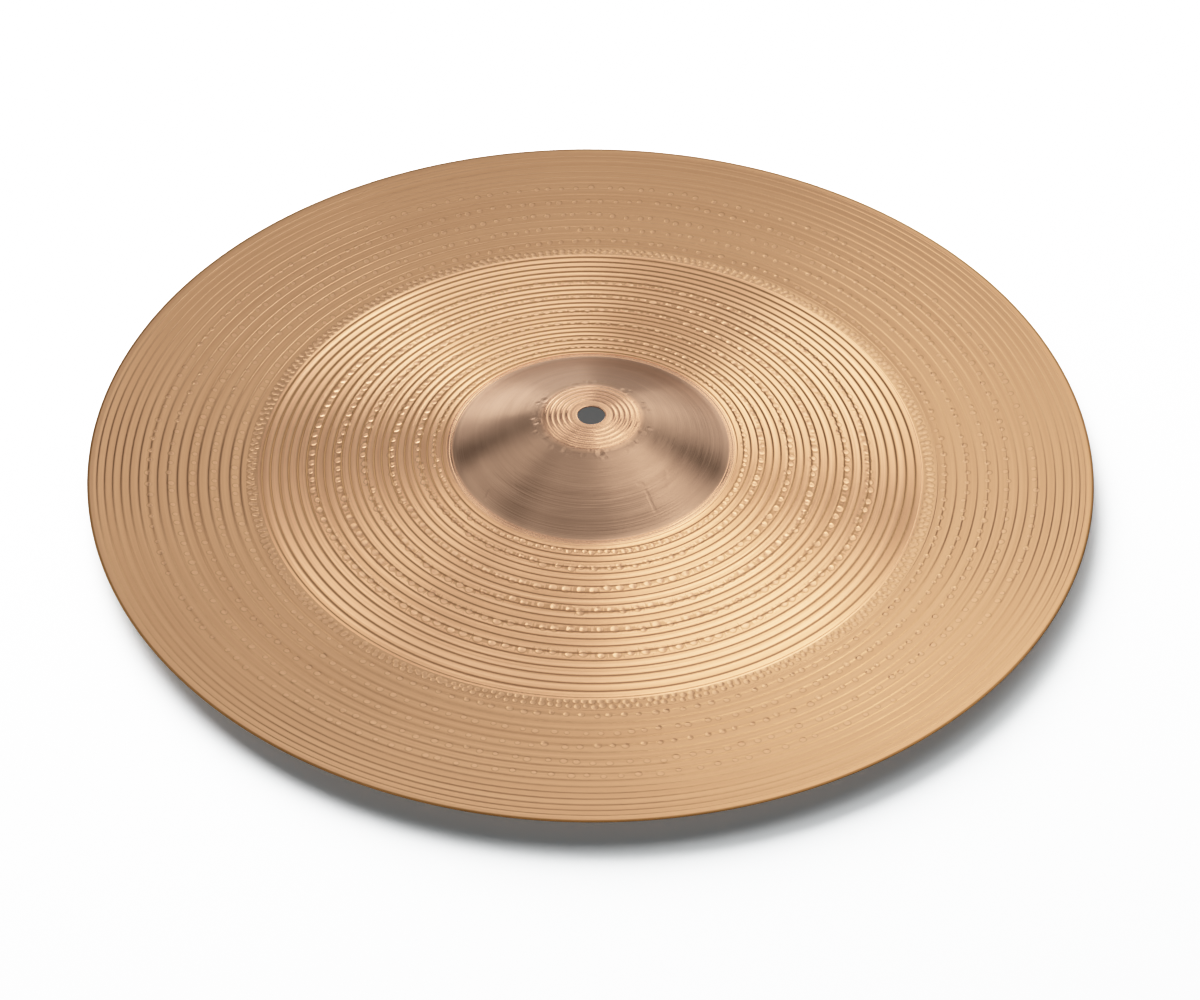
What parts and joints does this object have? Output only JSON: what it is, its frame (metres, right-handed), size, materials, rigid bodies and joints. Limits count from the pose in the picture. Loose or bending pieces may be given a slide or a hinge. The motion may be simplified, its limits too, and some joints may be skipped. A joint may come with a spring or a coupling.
{
  "type": "china cymbal",
  "caption": "Round bronze percussion plate with a domed bell, a lathed and hammered bow, a flat crease and an upturned flange, bored in the middle for a stand.",
  "frame": {"origin": "on the axis of the cymbal, level with the flat underside of the crease that it lies on", "axes": "+Z along the axis, out of the top of the bell; the cymbal is round, so X and Y are any two directions square to it"},
  "size_m": [0.4572, 0.4572, 0.0271],
  "materials": {
    "bronze": "lathed and hammered bronze, satin over the bow and flange, buffed on the flank of the bell"
  },
  "bodies": {
    "root": {"cymbal": "bronze"}
  },
  "joints": []
}
